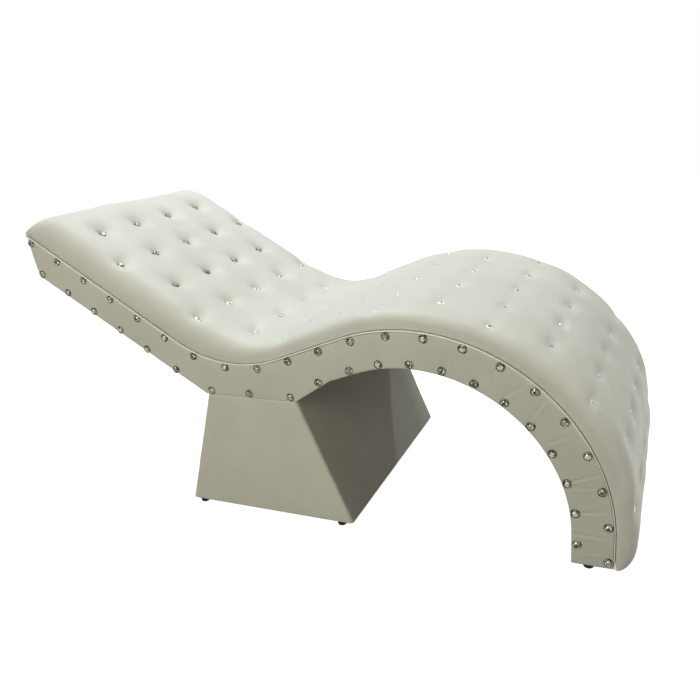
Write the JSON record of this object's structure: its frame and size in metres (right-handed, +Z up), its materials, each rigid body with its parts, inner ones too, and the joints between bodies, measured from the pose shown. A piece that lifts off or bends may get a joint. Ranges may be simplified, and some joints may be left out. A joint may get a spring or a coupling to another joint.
{
  "type": "eyelash extension bed",
  "caption": "Curved salon bed with a deep buttoned pad that falls from a raised head over a crest to the floor, studded padded sides and a tapered upholstered base.",
  "frame": {"origin": "floor level under the middle of the bed's bounding box", "axes": "+X from the head to the foot, along the bed's length; +Y to the left of someone lying on their back, square to the bed's middle plane; +Z up"},
  "size_m": [1.7746, 0.751, 0.9141],
  "materials": {
    "pearl_leatherette": "satin",
    "welt_leatherette": "satin",
    "lining_leatherette": "satin",
    "foam": "matte",
    "pine": "matte",
    "plywood": "matte",
    "zinc_steel": "satin",
    "black_plastic": "satin",
    "stud_chrome": "polished",
    "crystal": "polished"
  },
  "bodies": {
    "root": {"right_side_rib": "pine", "left_side_rib": "pine", "centre_rib": "pine", "head_end_board": "pine", "foot_end_board": "pine", "right_cross_rail_1": "pine", "right_cross_rail_2": "pine", "right_cross_rail_3": "pine", "right_cross_rail_4": "pine", "left_cross_rail_1": "pine", "left_cross_rail_2": "pine", "left_cross_rail_3": "pine", "left_cross_rail_4": "pine", "deck": "plywood", "head_underside_panel": "plywood", "arch_underside_panel": "plywood", "mounting_board": "pine", "right_side_cover": "pearl_leatherette", "left_side_cover": "pearl_leatherette", "head_end_cover": "pearl_leatherette", "head_lining": "lining_leatherette", "arch_lining": "lining_leatherette", "right_welt": "welt_leatherette", "left_welt": "welt_leatherette", "head_welt": "welt_leatherette", "foam_core": "foam", "tufted_pad": "pearl_leatherette", "base_right_cover": "pearl_leatherette", "base_left_cover": "pearl_leatherette", "base_head_cover": "pearl_leatherette", "base_foot_cover": "pearl_leatherette", "base_right_panel": "plywood", "base_left_panel": "plywood", "base_head_panel": "plywood", "base_foot_panel": "plywood", "base_top_board": "pine", "base_bottom_board": "pine", "base_corner_block_1": "pine", "base_corner_block_2": "pine", "base_corner_block_3": "pine", "base_corner_block_4": "pine", "base_glide_1": "black_plastic", "base_glide_2": "black_plastic", "base_glide_3": "black_plastic", "base_glide_4": "black_plastic", "foot_glide_1": "black_plastic", "foot_glide_2": "black_plastic", "mounting_bolt_1": "zinc_steel", "mounting_bolt_2": "zinc_steel", "mounting_bolt_3": "zinc_steel", "mounting_bolt_4": "zinc_steel", "bolt_washer_1": "zinc_steel", "bolt_washer_2": "zinc_steel", "bolt_washer_3": "zinc_steel", "bolt_washer_4": "zinc_steel", "tee_nut_1": "zinc_steel", "tee_nut_2": "zinc_steel", "tee_nut_3": "zinc_steel", "tee_nut_4": "zinc_steel"}
  },
  "joints": []
}
